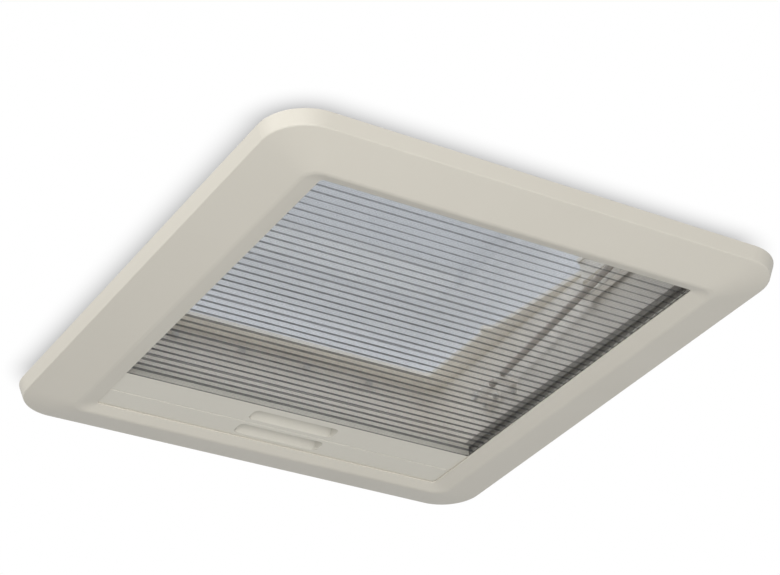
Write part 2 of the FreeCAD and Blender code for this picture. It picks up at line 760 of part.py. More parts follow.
def hinges():
    r_knuckle = hinge_pin_r + knuckle_wall
    y_plate = sy + upstand_t
    middle = knuckle_l / 2
    x_out = middle + knuckle_gap + knuckle_l
    brackets = []
    arms = []
    pins = []
    for v in (-1, 1):
        x = v * hinge_x
        half_h = hinge_plate_h / 2
        plate = block(
            x - hinge_plate_w / 2, x + hinge_plate_w / 2,
            y_plate, y_plate + hinge_plate_t,
            hinge_z - half_h, hinge_z + half_h,
        )
        corner = edges_where(plate, lambda e: e.BoundBox.YLength > 1)
        bracket = plate.makeFillet(3.0, corner)
        for u in (-1, 1):
            xa, xb = sorted((x + u * (middle + knuckle_gap), x + u * x_out))
            bracket = bracket.fuse(rod(r_knuckle, V(xa, hinge_y, hinge_z), X_AXIS, xb - xa))
            bracket = bracket.fuse(block(xa, xb, y_plate, hinge_y, hinge_z - r_knuckle, hinge_z + r_knuckle))
        bracket = bracket.cut(rod(hinge_pin_r, V(x - x_out - 1, hinge_y, hinge_z), X_AXIS, 2 * x_out + 2))
        slot = block(
            x - middle - knuckle_gap, x + middle + knuckle_gap,
            y_plate + hinge_plate_t - 0.01, hinge_y + 10,
            hinge_z - 10, hinge_z + 10,
        )
        bracket = bracket.cut(slot)
        for u in (-1, 1):
            spot = V(x + u * hinge_screw_x, y_plate - 1, hinge_z)
            bracket = bracket.cut(rod(hinge_screw_r + screw_play, spot, Y_AXIS, hinge_plate_t + 2))
        brackets.append(bracket.removeSplitter())
        pins.append(rod(hinge_pin_r, V(x - x_out, hinge_y, hinge_z), X_AXIS, 2 * x_out))
        y1 = sy + brim_w
        arm = block(
            x - hinge_arm_w / 2, x + hinge_arm_w / 2,
            y1 - hinge_arm_l + 0.5, y1, z_dome - hinge_arm_t, z_dome,
        )
        leg = block(x - middle, x + middle, hinge_y - r_knuckle, hinge_y + r_knuckle, hinge_z, z_dome)
        leg = leg.fuse(rod(r_knuckle, V(x - middle, hinge_y, hinge_z), X_AXIS, knuckle_l))
        arm = arm.fuse(leg)
        pin_end = V(x - middle - 1, hinge_y, hinge_z)
        arm = arm.cut(rod(hinge_pin_r + hinge_play, pin_end, X_AXIS, knuckle_l + 2))
        arms.append(arm)
    arm_screws = []
    for x, y in hinge_arm_screw_spots():
        shank = rod(hinge_screw_r, V(x, y, z_dome - hinge_arm_t), Z_AXIS, hinge_arm_t + subframe_t - 1)
        z_head = z_dome - hinge_arm_t - hinge_screw_head_h
        head = rod(hinge_screw_head_r, V(x, y, z_head), Z_AXIS, hinge_screw_head_h)
        arm_screws.append(shank.fuse(head).removeSplitter())
        arms = [arm.cut(rod(hinge_screw_r + screw_play, V(x, y, z_dome - 10), Z_AXIS, 20)) for arm in arms]
    screws = []
    nuts = []
    for x in hinge_screw_spots():
        y_head = y_plate + hinge_plate_t
        head = rod(hinge_screw_head_r, V(x, y_head, hinge_z), Y_AXIS, hinge_screw_head_h)
        length = hinge_plate_t + upstand_t + hinge_nut_t + 1
        shank = rod(hinge_screw_r, V(x, y_head, hinge_z), -Y_AXIS, length)
        screws.append(head.fuse(shank).removeSplitter())
        r = hinge_nut_r
        ring = [V(x + r * cos(radians(60 * i)), sy, hinge_z + r * sin(radians(60 * i))) for i in range(6)]
        nut = polygon(ring).extrude(V(0, -hinge_nut_t, 0))
        nuts.append(nut.cut(rod(hinge_screw_r, V(x, sy - 10, hinge_z), Y_AXIS, 20)))
    save("hinge_brackets", brackets)
    save("hinge_pins", pins)
    save("hinge_arms", [arm.removeSplitter() for arm in arms])
    save("hinge_screws", screws)
    save("hinge_nuts", nuts)
    save("hinge_arm_screws", arm_screws)


def track_screw_spots():
    x = bail_x + track_top_x
    y0, y1 = bail_bar_y - shoe_r, bail_bar_y - shoe_r + track_travel
    return [(u * x, y) for u in (-1, 1) for y in (y0 + 8, y1)]


def bail_tracks():
    x0 = bail_x + socket_r + track_side_gap
    x1 = shoe_x() + shoe_l + 0.8 + track_wall
    y0 = bail_bar_y - shoe_r - 1.0 - track_wall
    y1 = bail_bar_y + shoe_r + 1.0 + track_travel + track_wall
    z_top = bail_bar_z + shoe_r + track_gap
    z_low = bail_bar_z - shoe_r - track_slack
    body = block(x0, x1, y0, y1, z_low - track_lip, z_dome)
    body = body.cut(block(x0 - 1, x1 - track_wall, y0 + track_wall, y1 - track_wall, z_low, z_top))
    for x, y in track_screw_spots():
        body = body.cut(rod(screw_r, V(x, y, z_top + 3), Z_AXIS, 20))
    save_pair("bail_track", body.removeSplitter())
    screws = []
    for x, y in track_screw_spots():
        head = rod(screw_head_r, V(x, y, z_pane - screw_head_h), Z_AXIS, screw_head_h)
        shank = rod(screw_r, V(x, y, z_top + 4), Z_AXIS, z_pane - screw_head_h - z_top - 4)
        screws.append(head.fuse(shank).removeSplitter())
    save("track_screws", screws)


def bail_bracket_screw_spots():
    return [
        (bail_pivot_y - plate_screw_y, bail_pivot_z),
        (bail_pivot_y + plate_screw_y, bail_pivot_z),
        (cradle_y, bail_pivot_z - cradle_h * 0.6),
    ]


def wall_screw(y, z, x_face):
    head = rod(screw_head_r, V(x_face - screw_head_h, y, z), X_AXIS, screw_head_h)
    head = head.makeFillet(0.8, edges_where(head, lambda e: e.BoundBox.XMax < x_face - screw_head_h + 0.01))
    shank = rod(screw_r, V(x_face, y, z), X_AXIS, sx + neck_skin + 1.5 - x_face)
    return head.fuse(shank).removeSplitter()


def bail():
    pivot = V(bail_x, bail_pivot_y, bail_pivot_z)
    corner = V(bail_x, bail_bar_y, bail_bar_z)
    run = (corner - pivot).normalize()
    inward = -X_AXIS

    arm = rod(bail_r, pivot + run * tube_set, run, bail_len - 2 * tube_set)
    arm = arm.cut(rod(bail_r - bail_wall, pivot + run * (tube_set - 1), run, bail_len))
    save_pair("bail_arm", arm)

    eye = rod(pivot_boss_r, pivot - X_AXIS * 4, X_AXIS, 8)
    neck = block(-4, 4, 0, pivot_boss_r + 2, -pivot_boss_r + 1.5, pivot_boss_r - 1.5)
    neck.rotate(V(0, 0, 0), X_AXIS, 180 - bail_tilt)
    neck.translate(pivot)
    sleeve = rod(socket_r, pivot + run * (pivot_boss_r + 1), run, socket_l)
    end = eye.fuse([neck, sleeve])
    end = end.cut(rod(pivot_r + socket_play, pivot - X_AXIS * 10, X_AXIS, 20))
    end = end.cut(rod(bail_r, pivot + run * tube_set, run, socket_l + 10))
    save_pair("bail_end", end.removeSplitter())

    elbow = Part.makeSphere(socket_r, corner)
    elbow = elbow.fuse(rod(socket_r, corner, -run, socket_l + 6))
    elbow = elbow.fuse(rod(socket_r, corner, inward, socket_l + 6))
    axle_end = x_axle_end()
    elbow = elbow.fuse(rod(axle_r, corner, X_AXIS, axle_end - bail_x))
    elbow = elbow.cut(rod(bail_r, corner - run * tube_set, -run, socket_l + 10))
    elbow = elbow.cut(rod(bail_r, corner + inward * tube_set, inward, socket_l + 10))
    save_pair("bail_corner", elbow.removeSplitter())

    shoe = rod(shoe_r, V(shoe_x(), bail_bar_y, bail_bar_z), X_AXIS, shoe_l)
    shoe = shoe.cut(rod(axle_r + socket_play, V(shoe_x() - 1, bail_bar_y, bail_bar_z), X_AXIS, shoe_l + 2))
    save_pair("bail_shoe", shoe)

    half = bail_x - tube_set
    bar = rod(bail_r, V(-half, bail_bar_y, bail_bar_z), X_AXIS, 2 * half)
    bar = bar.cut(rod(bail_r - bail_wall, V(-half - 1, bail_bar_y, bail_bar_z), X_AXIS, 2 * half + 2))
    save("bail_bar", bar)
    grip = rod(grip_sleeve_r, V(-grip_sleeve_l / 2, bail_bar_y, bail_bar_z), X_AXIS, grip_sleeve_l)
    grip = grip.makeFillet(2.0, edges_where(grip, lambda e: e.BoundBox.XLength < 0.1))
    grip = grip.cut(rod(bail_r, V(-grip_sleeve_l, bail_bar_y, bail_bar_z), X_AXIS, 2 * grip_sleeve_l))
    save("bail_grip", grip)

    face = sx - plate_t
    plate = block(
        face, sx,
        bail_pivot_y - plate_l / 2, bail_pivot_y + plate_l / 2,
        bail_pivot_z - plate_h / 2, bail_pivot_z + plate_h / 2,
    )
    plate = plate.makeFillet(4.0, edges_where(plate, lambda e: abs(e.BoundBox.XLength - plate_t) < 0.01))
    boss_x = bail_x + 4 + 0.4
    bracket = plate.fuse(rod(pivot_boss_r - 2, V(boss_x, bail_pivot_y, bail_pivot_z), X_AXIS, face - boss_x))
    bracket = bracket.cut(rod(pivot_r, V(boss_x - 1, bail_pivot_y, bail_pivot_z), X_AXIS, face - boss_x + 1))
    cradle_tan = (bail_bar_z - bail_pivot_z) / (bail_pivot_y - bail_bar_y)
    low_y = cradle_y + cradle_l / 2
    top = bail_pivot_z + (bail_pivot_y - low_y) * cradle_tan - bail_r * 1.01 - 0.3
    x_lip = bail_x - bail_r - 0.6
    y0 = cradle_y - cradle_l / 2
    y1 = cradle_y + cradle_l / 2
    cradle = block(face, sx, y0, y1, bail_pivot_z - cradle_h, top)
    cradle = cradle.fuse(block(x_lip - cradle_t, face, y0, y1, top - cradle_t, top))
    cradle = cradle.fuse(block(x_lip - cradle_t, x_lip, y0, y1, top - cradle_t, top + cradle_lip_h))
    screws = []
    for y, z in bail_bracket_screw_spots():
        hole = rod(screw_r + screw_play, V(face - 1, y, z), X_AXIS, plate_t + 2)
        bracket = bracket.cut(hole)
        cradle = cradle.cut(hole)
        screws.append(wall_screw(y, z, face))
    save_pair("bail_bracket", bracket.removeSplitter())
    save_pair("bail_cradle", cradle.removeSplitter())
    save("bracket_screws", screws + [mirrored_x(s) for s in screws])
    x_head = bail_x - 4 - 0.4
    pin = rod(pivot_r, V(x_head, bail_pivot_y, bail_pivot_z), X_AXIS, face - x_head)
    pin = pin.fuse(rod(pivot_r + 1.5, V(x_head - 2, bail_pivot_y, bail_pivot_z), X_AXIS, 2))
    pin = pin.removeSplitter()
    save("pivot_pins", [pin, mirrored_x(pin)])


def shoe_x():
    return bail_x + socket_r + 0.7


def x_axle_end():
    return shoe_x() + shoe_l + 0.3


interior_frame()
clamp_parts()
base_frame()
guides()
cassettes()
flyscreen()
blackout()
end_rail("flyscreen", screen_rail_y, screen_rail_y + screen_grip_set, 1)
end_rail("blackout", blind_rail_y, blind_rail_y + blind_grip_set, -1)
cords()
dome_seal()
dome_subframe()
dome_pane()
dome_shell()
hinges()
bail_tracks()
bail()

os.makedirs("parts", exist_ok=True)
for name, shape in parts.items():
    solids = len(shape.Solids)
    if not shape.isValid() or solids == 0:
        raise RuntimeError(name + " is not a valid solid")
    print(name, solids, round(shape.Volume))
    shape.translate(V(0, -free_end_trim / 2, 0))
    shape.exportStep("parts/" + name + ".step")
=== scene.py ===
import json
import math
import random

import bpy
import numpy as np
from mathutils import Matrix, Vector


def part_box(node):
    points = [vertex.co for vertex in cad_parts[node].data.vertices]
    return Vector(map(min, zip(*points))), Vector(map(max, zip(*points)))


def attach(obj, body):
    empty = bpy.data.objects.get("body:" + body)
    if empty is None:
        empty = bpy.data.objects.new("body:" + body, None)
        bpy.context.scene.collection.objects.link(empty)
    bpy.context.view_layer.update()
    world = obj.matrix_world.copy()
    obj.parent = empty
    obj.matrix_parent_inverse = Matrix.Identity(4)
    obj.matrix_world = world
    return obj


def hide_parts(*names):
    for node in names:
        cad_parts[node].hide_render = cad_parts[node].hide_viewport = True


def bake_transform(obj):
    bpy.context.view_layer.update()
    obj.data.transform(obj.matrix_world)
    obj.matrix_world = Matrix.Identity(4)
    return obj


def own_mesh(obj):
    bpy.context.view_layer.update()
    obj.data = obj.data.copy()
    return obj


# Caravan roof hatch, seen from inside the vehicle with the flyscreen drawn across.

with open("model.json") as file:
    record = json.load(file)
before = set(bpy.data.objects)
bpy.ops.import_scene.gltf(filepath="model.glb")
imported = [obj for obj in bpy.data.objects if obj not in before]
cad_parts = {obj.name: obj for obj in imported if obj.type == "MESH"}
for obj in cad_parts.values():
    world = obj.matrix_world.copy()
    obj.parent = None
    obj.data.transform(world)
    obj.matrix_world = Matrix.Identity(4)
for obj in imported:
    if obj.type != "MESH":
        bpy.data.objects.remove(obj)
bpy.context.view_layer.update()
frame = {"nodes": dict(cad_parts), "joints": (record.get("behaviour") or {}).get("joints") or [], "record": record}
nodes = frame["nodes"]
print("frame loaded:", len(nodes), "nodes")

# Camera, fitted to the edges of the trim
cameraSetup = {
    "place": (-0.9508, -1.5303, -1.0103),
    "azimuth": -32.09,
    "elevation": -30.90,
    "roll": -2.23,
    "lens": 106.05,
    "sensorWidth": 36,
    "clipEnd": 50,
}


def addCamera(setup):
    a = math.radians(setup["azimuth"])
    e = math.radians(setup["elevation"])
    r = math.radians(setup["roll"])
    back = Vector((math.sin(a) * math.cos(e), -math.cos(a) * math.cos(e), math.sin(e)))
    right = (-back).cross(Vector((0, 0, 1))).normalized()
    up = right.cross(-back)
    rolledRight = right * math.cos(r) + up * math.sin(r)
    rolledUp = -right * math.sin(r) + up * math.cos(r)
    turn = Matrix((rolledRight, rolledUp, back)).transposed()
    data = bpy.data.cameras.new("camera")
    data.lens = setup["lens"]
    data.sensor_width = setup["sensorWidth"]
    data.clip_end = setup["clipEnd"]
    camera = bpy.data.objects.new("camera", data)
    camera.matrix_world = Matrix.Translation(setup["place"]) @ turn.to_4x4()
    bpy.context.collection.objects.link(camera)
    bpy.context.scene.camera = camera


addCamera(cameraSetup)
bpy.context.scene.view_settings.view_transform = "Standard"
print("camera placed")


# Colours are written as they look on a screen, 0 to 255, and become linear by the standard screen curve
def screenColour(r, g, b):
    parts = [((c / 255 + 0.055) / 1.055) ** 2.4 if c > 10 else c / 255 / 12.92 for c in (r, g, b)]
    return (*parts, 1)


# Small helpers for node trees
def link(tree, fromSocket, toSocket):
    tree.links.new(fromSocket, toSocket)


def mathNode(tree, operation, first, second=None, third=None):
    node = tree.nodes.new("ShaderNodeMath")
    node.operation = operation
    for i, value in enumerate((first, second, third)):
        if value is None:
            continue
        if isinstance(value, (int, float)):
            node.inputs[i].default_value = value
        else:
            link(tree, value, node.inputs[i])
    return node.outputs[0]


def noiseNode(tree, vector, scale, detail, roughness):
    node = tree.nodes.new("ShaderNodeTexNoise")
    link(tree, vector, node.inputs["Vector"])
    if isinstance(scale, (int, float)):
        node.inputs["Scale"].default_value = scale
    else:
        link(tree, scale, node.inputs["Scale"])
    node.inputs["Detail"].default_value = detail
    node.inputs["Roughness"].default_value = roughness
    return node.outputs["Fac"]


def mixColours(tree, factor, first, second):
    node = tree.nodes.new("ShaderNodeMix")
    node.data_type = "RGBA"
    link(tree, factor, node.inputs["Factor"])
    for value, socket in ((first, node.inputs["A"]), (second, node.inputs["B"])):
        if isinstance(value, tuple):
            socket.default_value = value
        else:
            link(tree, value, socket)
    return node.outputs["Result"]


def newGroup(name, inputs, outputs):
    group = bpy.data.node_groups.new(name, "ShaderNodeTree")
    for label, kind, value in inputs:
        socket = group.interface.new_socket(name=label, in_out="INPUT", socket_type=kind)
        socket.default_value = value
    for label, kind in outputs:
        group.interface.new_socket(name=label, in_out="OUTPUT", socket_type=kind)
    return group, group.nodes.new("NodeGroupInput"), group.nodes.new("NodeGroupOutput")


# Moulded plastic: a fine spark-eroded grain, faint mottling and a little dust in the colour
grainSetup = {
    "cloudScale": 14.0,
    "wideScale": 3.0,
    "cloudShare": 2.2,
    "speckShare": 0.6,
    "roughnessSpread": 0.12,
}


def mouldedGrainGroup(setup):
    group, given, result = newGroup(
        "mouldedGrain",
        [
            ("Base", "NodeSocketColor", (0.6, 0.6, 0.6, 1)),
            ("Tint", "NodeSocketColor", (0.5, 0.5, 0.5, 1)),
            ("Grain size", "NodeSocketFloat", 1400.0),
            ("Mottle", "NodeSocketFloat", 0.15),
            ("Roughness", "NodeSocketFloat", 0.5),
        ],
        [("Color", "NodeSocketColor"), ("Roughness", "NodeSocketFloat"), ("Height", "NodeSocketFloat")],
    )
    place = group.nodes.new("ShaderNodeTexCoord").outputs["Object"]
    mottle = given.outputs["Mottle"]
    grain = noiseNode(group, place, given.outputs["Grain size"], detail=2, roughness=0.6)
    cloud = noiseNode(group, place, setup["cloudScale"], detail=4, roughness=0.55)
    wide = noiseNode(group, place, setup["wideScale"], detail=2, roughness=0.5)
    amount = mathNode(group, "MULTIPLY", mathNode(group, "MULTIPLY", cloud, wide), mottle)
    speck = mathNode(group, "MULTIPLY", grain, mathNode(group, "MULTIPLY", mottle, setup["speckShare"]))
    shade = mathNode(group, "ADD", mathNode(group, "MULTIPLY", amount, setup["cloudShare"]), speck)
    colour = mixColours(group, shade, given.outputs["Base"], given.outputs["Tint"])
    spread = setup["roughnessSpread"]
    lowest = mathNode(group, "SUBTRACT", given.outputs["Roughness"], spread / 2)
    rough = mathNode(group, "MULTIPLY_ADD", cloud, spread, lowest)
    link(group, colour, result.inputs["Color"])
    link(group, rough, result.inputs["Roughness"])
    link(group, grain, result.inputs["Height"])
    return group


# Handling: rubbed streaks in patches, which are paler and duller than the rest
handlingSetup = {
    "stretch": (1.0, 0.12, 0.6),
    "turn": (0.2, 0.5, 0.7),
    "patchScale": 22.0,
    "threshold": 0.56,
    "sharpness": 6.0,
    "softness": 0.1,
}


def handlingGroup(setup):
    group, given, result = newGroup(
        "handlingMarks",
        [
            ("Scale", "NodeSocketFloat", 160.0),
            ("Amount", "NodeSocketFloat", 0.2),
        ],
        [("Mask", "NodeSocketFloat")],
    )
    place = group.nodes.new("ShaderNodeTexCoord").outputs["Object"]
    stretch = group.nodes.new("ShaderNodeMapping")
    stretch.inputs["Scale"].default_value = setup["stretch"]
    stretch.inputs["Rotation"].default_value = setup["turn"]
    link(group, place, stretch.inputs["Vector"])
    streak = noiseNode(group, stretch.outputs["Vector"], given.outputs["Scale"], detail=5, roughness=0.65)
    patch = noiseNode(group, place, setup["patchScale"], detail=2, roughness=0.5)
    above = mathNode(group, "SUBTRACT", streak, setup["threshold"])
    line = mathNode(group, "MULTIPLY", above, setup["sharpness"])
    line = mathNode(group, "SMOOTH_MIN", 1.0, line, setup["softness"])
    mask = mathNode(group, "MULTIPLY", mathNode(group, "MAXIMUM", line, 0.0), patch)
    link(group, mathNode(group, "MULTIPLY", mask, given.outputs["Amount"]), result.inputs["Mask"])
    return group


# Fine mesh: threads both ways, from the sheet's own UV in metres. Its creases grow stronger from the fixed
# end to the rail, by the lower of two straight rises, each with its start and its slope.
creaseRises = ((0.3, 0.7), (0.11, 1.1))


def netThreadsGroup(rises):
    group, given, result = newGroup(
        "netThreads",
        [
            ("Pitch", "NodeSocketFloat", 0.0013),
            ("Open", "NodeSocketFloat", 0.5),
            ("Thin", "NodeSocketFloat", 0.3),
            ("Dense", "NodeSocketFloat", 0.6),
            ("Fold", "NodeSocketFloat", 0.0074),
            ("Length", "NodeSocketFloat", 0.6),
            ("Crease", "NodeSocketFloat", 0.8),
            ("Crease width", "NodeSocketFloat", 0.001),
        ],
        [("Cover", "NodeSocketFloat"), ("Height", "NodeSocketFloat")],
    )
    uv = group.nodes.new("ShaderNodeUVMap")
    uv.uv_map = "cloth"
    split = group.nodes.new("ShaderNodeSeparateXYZ")
    link(group, uv.outputs["UV"], split.inputs[0])
    ridges = []
    for axis in ("X", "Y"):
        turns = mathNode(group, "DIVIDE", split.outputs[axis], given.outputs["Pitch"])
        ridges.append(mathNode(group, "PINGPONG", turns, 0.5))
    nearest = mathNode(group, "MULTIPLY", mathNode(group, "MINIMUM", ridges[0], ridges[1]), 2.0)
    thread = mathNode(group, "LESS_THAN", nearest, given.outputs["Open"])
    span = mathNode(group, "SUBTRACT", given.outputs["Dense"], given.outputs["Thin"])
    cover = mathNode(group, "MULTIPLY_ADD", thread, span, given.outputs["Thin"])
    # The cloth is pressed and denser along each fold
    turns = mathNode(group, "DIVIDE", split.outputs["Y"], given.outputs["Fold"])
    away = mathNode(group, "MULTIPLY", mathNode(group, "PINGPONG", turns, 0.5), given.outputs["Fold"])
    near = mathNode(group, "DIVIDE", away, given.outputs["Crease width"])
    pressed = mathNode(group, "MAXIMUM", mathNode(group, "SUBTRACT", 1.0, near), 0.0)
    along = mathNode(group, "DIVIDE", split.outputs["Y"], given.outputs["Length"])
    lines = [mathNode(group, "MULTIPLY_ADD", along, slope, start) for start, slope in rises]
    strength = mathNode(group, "MULTIPLY", given.outputs["Crease"], mathNode(group, "MINIMUM", *lines))
    cover = mathNode(group, "MAXIMUM", cover, mathNode(group, "MULTIPLY", pressed, strength))
    link(group, cover, result.inputs["Cover"])
    link(group, mathNode(group, "SUBTRACT", 1.0, nearest), result.inputs["Height"])
    return group


# Woven cloth for the blind, with the share of shadow between its yarns
weaveShadow = 0.5


def weaveGroup(shadowShare):
    group, given, result = newGroup(
        "blindWeave",
        [
            ("Base", "NodeSocketColor", (0.6, 0.6, 0.6, 1)),
            ("Shadow", "NodeSocketColor", (0.4, 0.4, 0.4, 1)),
            ("Pitch", "NodeSocketFloat", 0.0006),
        ],
        [("Color", "NodeSocketColor"), ("Height", "NodeSocketFloat")],
    )
    uv = group.nodes.new("ShaderNodeUVMap")
    uv.uv_map = "cloth"
    split = group.nodes.new("ShaderNodeSeparateXYZ")
    link(group, uv.outputs["UV"], split.inputs[0])
    waves = []
    for axis in ("X", "Y"):
        turns = mathNode(group, "DIVIDE", split.outputs[axis], given.outputs["Pitch"])
        waves.append(mathNode(group, "SINE", mathNode(group, "MULTIPLY", turns, 2 * math.pi)))
    weave = mathNode(group, "MULTIPLY_ADD", mathNode(group, "MULTIPLY", waves[0], waves[1]), 0.5, 0.5)
    shadow = mathNode(group, "MULTIPLY", weave, shadowShare)
    colour = mixColours(group, shadow, given.outputs["Base"], given.outputs["Shadow"])
    link(group, colour, result.inputs["Color"])
    link(group, weave, result.inputs["Height"])
    return group


# Brushed or rolled metal: fine lines along it, and dull stains
brushedSetup = {"lineScale": 2600.0, "stainScale": 60.0, "stainShare": 0.7, "roughnessSpread": 0.25}


def brushedGroup(setup):
    group, given, result = newGroup(
        "brushedMetal",
        [
            ("Base", "NodeSocketColor", (0.6, 0.6, 0.6, 1)),
            ("Dull", "NodeSocketColor", (0.4, 0.4, 0.4, 1)),
            ("Along", "NodeSocketVector", (1.0, 0.05, 0.05)),
            ("Roughness", "NodeSocketFloat", 0.35),
        ],
        [("Color", "NodeSocketColor"), ("Roughness", "NodeSocketFloat"), ("Height", "NodeSocketFloat")],
    )
    place = group.nodes.new("ShaderNodeTexCoord").outputs["Object"]
    stretch = group.nodes.new("ShaderNodeVectorMath")
    stretch.operation = "MULTIPLY"
    link(group, place, stretch.inputs[0])
    link(group, given.outputs["Along"], stretch.inputs[1])
    lines = noiseNode(group, stretch.outputs[0], setup["lineScale"], detail=3, roughness=0.6)
    stain = noiseNode(group, place, setup["stainScale"], detail=4, roughness=0.6)
    dull = mathNode(group, "MULTIPLY", stain, setup["stainShare"])
    colour = mixColours(group, dull, given.outputs["Base"], given.outputs["Dull"])
    rough = mathNode(group, "MULTIPLY_ADD", lines, setup["roughnessSpread"], given.outputs["Roughness"])
    link(group, colour, result.inputs["Color"])
    link(group, rough, result.inputs["Roughness"])
    link(group, lines, result.inputs["Height"])
    return group


groups = {
    "grain": mouldedGrainGroup(grainSetup),
    "handling": handlingGroup(handlingSetup),
    "threads": netThreadsGroup(creaseRises),
    "weave": weaveGroup(weaveShadow),
    "brushed": brushedGroup(brushedSetup),
}
print("shader groups built:", len(groups))


def newMaterial(name):
    material = bpy.data.materials.new(name)
    material.use_nodes = True
    tree = material.node_tree
    shader = tree.nodes["Principled BSDF"]
    return material, tree, shader


def placeGroup(tree, key, **values):
    node = tree.nodes.new("ShaderNodeGroup")
    node.node_tree = groups[key]
    for label, value in values.items():
        node.inputs[label.replace("_", " ")].default_value = value
    return node


bumpStrength = {"plastic": 0.35, "metal": 0.3, "net": 0.4, "cloth": 0.5}


def addBump(tree, shader, height, distance, strength):
    bump = tree.nodes.new("ShaderNodeBump")
    bump.inputs["Distance"].default_value = distance
    bump.inputs["Strength"].default_value = strength
    link(tree, height, bump.inputs["Height"])
    link(tree, bump.outputs["Normal"], shader.inputs["Normal"])


def plasticMaterial(name, look):
    material, tree, shader = newMaterial(name)
    grain = placeGroup(
        tree, "grain",
        Base=screenColour(*look["colour"]), Tint=screenColour(*look["shade"]),
        Grain_size=look["grain"], Mottle=look["mottle"], Roughness=look["roughness"],
    )
    marks = placeGroup(tree, "handling", Scale=look["markScale"], Amount=look["marks"])
    worn = mixColours(tree, marks.outputs["Mask"], grain.outputs["Color"], screenColour(*look["worn"]))
    # Painted shade in hollows, for looks that ask for it
    if "hollow" in look:
        worn = paintedShadeInHollows(tree, worn, look)
    link(tree, worn, shader.inputs["Base Color"])
    rough = mathNode(tree, "ADD", grain.outputs["Roughness"], marks.outputs["Mask"])
    link(tree, rough, shader.inputs["Roughness"])
    shader.inputs["IOR"].default_value = look["ior"]
    addBump(tree, shader, grain.outputs["Height"], look["bump"], bumpStrength["plastic"])
    # Painted glow, for looks that ask for it
    if "daylight" in look:
        addPaintedGlow(tree, shader, worn, look)
    return material


def paintedShadeInHollows(tree, colour, look):
    # Painted shade: darker in finger scoops and inside corners, from local ambient occlusion
    depth = tree.nodes.new("ShaderNodeAmbientOcclusion")
    depth.samples = look["hollowSamples"]
    depth.only_local = True
    depth.inputs["Distance"].default_value = look["hollowReach"]
    share = mathNode(tree, "MULTIPLY", mathNode(tree, "SUBTRACT", 1.0, depth.outputs["AO"]), look["hollow"])
    return mixColours(tree, share, colour, screenColour(*look["deep"]))


def addPaintedGlow(tree, shader, colour, look):
    # Painted glow: emission in the plastic's own colour that stands in for daylight coming through pale plastic,
    # strongest on faces that look down
    surface = tree.nodes.new("ShaderNodeNewGeometry")
    split = tree.nodes.new("ShaderNodeSeparateXYZ")
    link(tree, surface.outputs["Normal"], split.inputs[0])
    down = mathNode(tree, "MAXIMUM", mathNode(tree, "MULTIPLY", split.outputs["Z"], -1.0), look["sideways"])
    link(tree, colour, shader.inputs["Emission Color"])
    link(tree, mathNode(tree, "MULTIPLY", down, look["daylight"]), shader.inputs["Emission Strength"])


def metalMaterial(name, look):
    material, tree, shader = newMaterial(name)
    brushed = placeGroup(
        tree, "brushed",
        Base=screenColour(*look["colour"]), Dull=screenColour(*look["dull"]),
        Along=look["along"], Roughness=look["roughness"],
    )
    link(tree, brushed.outputs["Color"], shader.inputs["Base Color"])
    link(tree, brushed.outputs["Roughness"], shader.inputs["Roughness"])
    shader.inputs["Metallic"].default_value = look["metal"]
    addBump(tree, shader, brushed.outputs["Height"], look["bump"], bumpStrength["metal"])
    return material


def acrylicMaterial(name, look):
    material, tree, shader = newMaterial(name)
    shader.inputs["Base Color"].default_value = screenColour(*look["colour"])
    shader.inputs["Transmission Weight"].default_value = 1.0
    shader.inputs["IOR"].default_value = look["ior"]
    marks = placeGroup(tree, "handling", Scale=look["markScale"], Amount=look["marks"])
    link(tree, mathNode(tree, "ADD", marks.outputs["Mask"], look["roughness"]), shader.inputs["Roughness"])
    clear = tree.nodes.new("ShaderNodeBsdfTransparent")
    clear.inputs["Color"].default_value = look["shadowTint"]
    paths = tree.nodes.new("ShaderNodeLightPath")
    mix = tree.nodes.new("ShaderNodeMixShader")
    link(tree, paths.outputs["Is Shadow Ray"], mix.inputs["Fac"])
    link(tree, shader.outputs[0], mix.inputs[1])
    link(tree, clear.outputs[0], mix.inputs[2])
    link(tree, mix.outputs[0], tree.nodes["Material Output"].inputs["Surface"])
    return material


def netMaterial(name, look):
    material, tree, shader = newMaterial(name)
    threads = placeGroup(
        tree, "threads",
        Pitch=look["pitch"], Open=look["threadShare"], Thin=look["thin"], Dense=look["dense"],
        Crease=look["crease"], Crease_width=look["creaseWidth"],
    )
    threads.name = "threads"
    shader.inputs["Base Color"].default_value = screenColour(*look["colour"])
    shader.inputs["Roughness"].default_value = look["roughness"]
    shader.inputs["Sheen Weight"].default_value = look["sheen"]
    link(tree, threads.outputs["Cover"], shader.inputs["Alpha"])
    addBump(tree, shader, threads.outputs["Height"], look["bump"], bumpStrength["net"])
    return material


def blindMaterial(name, look):
    material, tree, shader = newMaterial(name)
    weave = placeGroup(
        tree, "weave",
        Base=screenColour(*look["colour"]), Shadow=screenColour(*look["shade"]), Pitch=look["pitch"],
    )
    link(tree, weave.outputs["Color"], shader.inputs["Base Color"])
    shader.inputs["Roughness"].default_value = look["roughness"]
    shader.inputs["Sheen Weight"].default_value = look["sheen"]
    addBump(tree, shader, weave.outputs["Height"], look["bump"], bumpStrength["cloth"])
    return material


